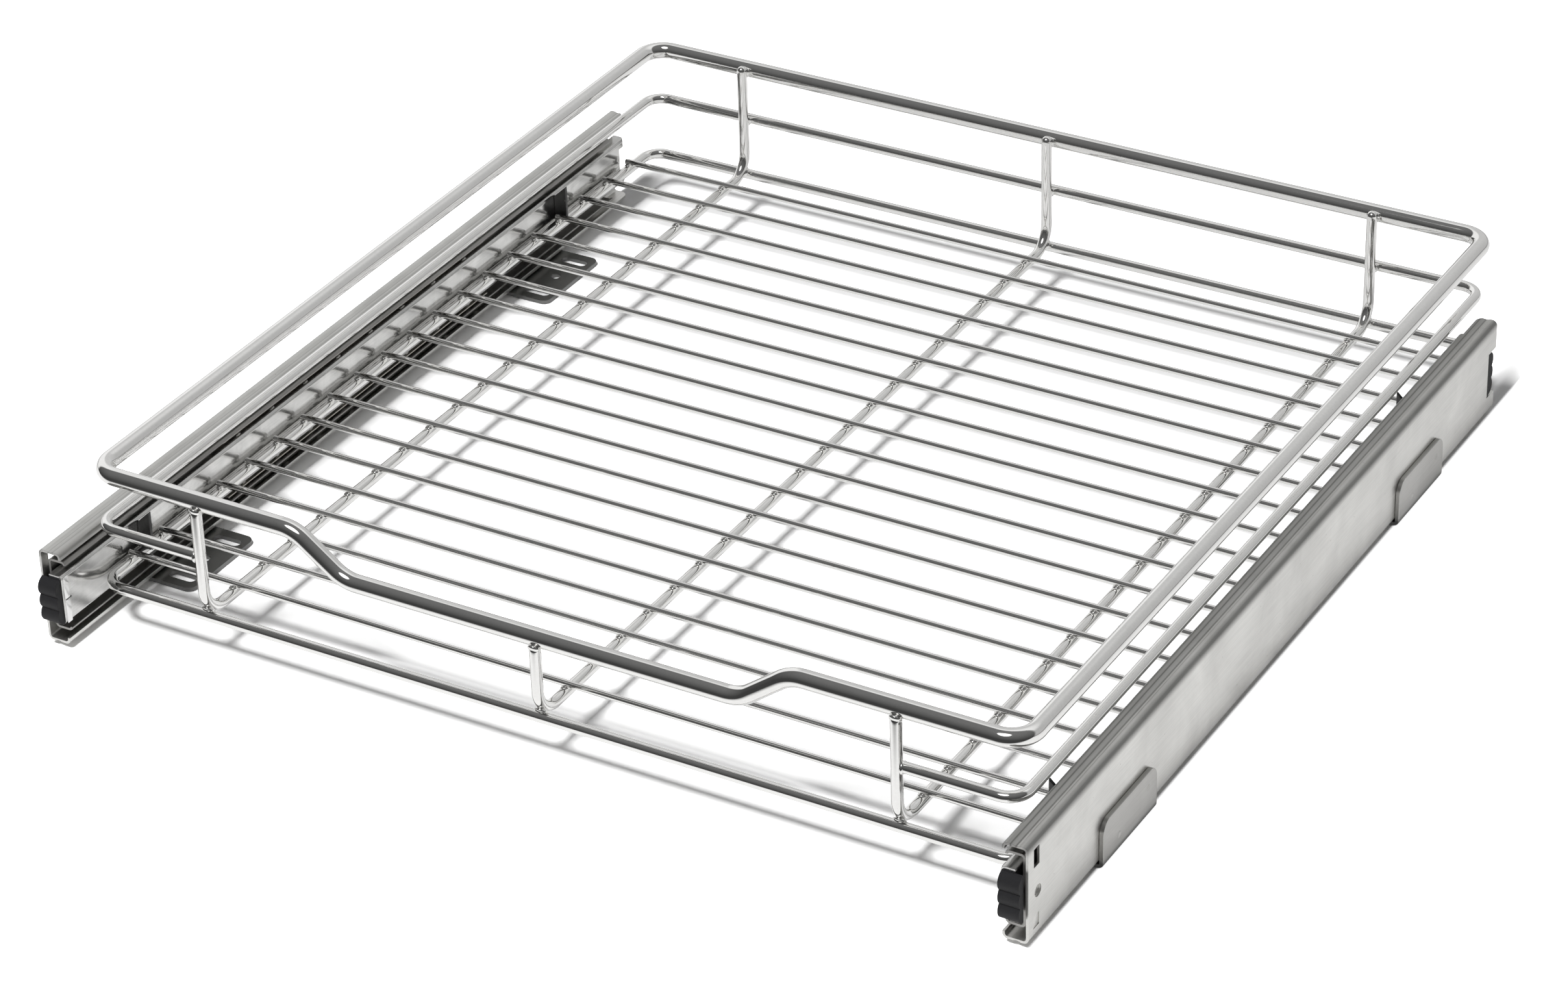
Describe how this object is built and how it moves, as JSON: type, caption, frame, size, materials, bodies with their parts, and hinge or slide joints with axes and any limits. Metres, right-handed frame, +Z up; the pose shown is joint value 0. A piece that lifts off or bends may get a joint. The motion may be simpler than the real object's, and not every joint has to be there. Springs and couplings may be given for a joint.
{
  "type": "pull-out cabinet basket",
  "caption": "Shallow chromed wire basket with a dipped front rail, riding on a pair of full-extension ball slides that stand on slotted screw feet on a cabinet floor.",
  "frame": {"origin": "on the floor under the feet, below the middle of the whole part's box", "axes": "+Z up, -Y the way the basket pulls out, +X to the right of someone who faces the basket's front"},
  "size_m": [0.4714, 0.487, 0.0796],
  "materials": {
    "chrome_wire": "bright chrome plate on round steel wire",
    "slide_steel": "satin zinc-plated sheet steel",
    "cage_steel": "thin zinc-plated strip",
    "ball_steel": "polished bearing steel",
    "bracket_steel": "dark plated steel plate",
    "black_rubber": "moulded black rubber, slightly glossy"
  },
  "bodies": {
    "cabinet_members": {"outer_channel_left": "slide_steel", "outer_channel_right": "slide_steel", "foot_front_left": "slide_steel", "foot_front_right": "slide_steel", "foot_rear_left": "slide_steel", "foot_rear_right": "slide_steel", "rear_bumper_left": "black_rubber", "rear_bumper_right": "black_rubber"},
    "basket": {"top_rail": "chrome_wire", "middle_rail": "chrome_wire", "bottom_rail": "chrome_wire", "rib_left": "chrome_wire", "rib_centre": "chrome_wire", "rib_right": "chrome_wire", "cross_wire_1": "chrome_wire", "cross_wire_2": "chrome_wire", "cross_wire_3": "chrome_wire", "cross_wire_4": "chrome_wire", "cross_wire_5": "chrome_wire", "cross_wire_6": "chrome_wire", "cross_wire_7": "chrome_wire", "cross_wire_8": "chrome_wire", "cross_wire_9": "chrome_wire", "cross_wire_10": "chrome_wire", "cross_wire_11": "chrome_wire", "cross_wire_12": "chrome_wire", "cross_wire_13": "chrome_wire", "cross_wire_14": "chrome_wire", "cross_wire_15": "chrome_wire", "cross_wire_16": "chrome_wire", "cross_wire_17": "chrome_wire", "cross_wire_18": "chrome_wire", "cross_wire_19": "chrome_wire", "cross_wire_20": "chrome_wire", "inner_channel_left": "slide_steel", "inner_channel_right": "slide_steel", "bracket_front_left": "bracket_steel", "bracket_front_right": "bracket_steel", "bracket_rear_left": "bracket_steel", "bracket_rear_right": "bracket_steel", "front_bumper_left": "black_rubber", "front_bumper_right": "black_rubber"},
    "intermediate_left": {"intermediate_channel_left": "slide_steel"},
    "outer_cage_left": {"outer_cage_left": "cage_steel", "outer_balls_left": "ball_steel"},
    "inner_cage_left": {"inner_cage_left": "cage_steel", "inner_balls_left": "ball_steel"},
    "intermediate_right": {"intermediate_channel_right": "slide_steel"},
    "outer_cage_right": {"outer_cage_right": "cage_steel", "outer_balls_right": "ball_steel"},
    "inner_cage_right": {"inner_cage_right": "cage_steel", "inner_balls_right": "ball_steel"}
  },
  "joints": [
    {"name": "basket_slide", "type": "slide", "parent": "cabinet_members", "child": "basket", "axis": [0, -1, 0], "range_m": [0, 0.45]},
    {"name": "intermediate_left_slide", "type": "slide", "parent": "cabinet_members", "child": "intermediate_left", "axis": [0, -1, 0], "range_m": [0, 0.225]},
    {"name": "outer_cage_left_slide", "type": "slide", "parent": "cabinet_members", "child": "outer_cage_left", "axis": [0, -1, 0], "range_m": [0, 0.1125]},
    {"name": "inner_cage_left_slide", "type": "slide", "parent": "cabinet_members", "child": "inner_cage_left", "axis": [0, -1, 0], "range_m": [0, 0.3375]},
    {"name": "intermediate_right_slide", "type": "slide", "parent": "cabinet_members", "child": "intermediate_right", "axis": [0, -1, 0], "range_m": [0, 0.225]},
    {"name": "outer_cage_right_slide", "type": "slide", "parent": "cabinet_members", "child": "outer_cage_right", "axis": [0, -1, 0], "range_m": [0, 0.1125]},
    {"name": "inner_cage_right_slide", "type": "slide", "parent": "cabinet_members", "child": "inner_cage_right", "axis": [0, -1, 0], "range_m": [0, 0.3375]}
  ],
  "couplings": [
    {"joint": "intermediate_left_slide", "follows": "basket_slide", "ratio": 0.5},
    {"joint": "outer_cage_left_slide", "follows": "basket_slide", "ratio": 0.25},
    {"joint": "inner_cage_left_slide", "follows": "basket_slide", "ratio": 0.75},
    {"joint": "intermediate_right_slide", "follows": "basket_slide", "ratio": 0.5},
    {"joint": "outer_cage_right_slide", "follows": "basket_slide", "ratio": 0.25},
    {"joint": "inner_cage_right_slide", "follows": "basket_slide", "ratio": 0.75}
  ]
}
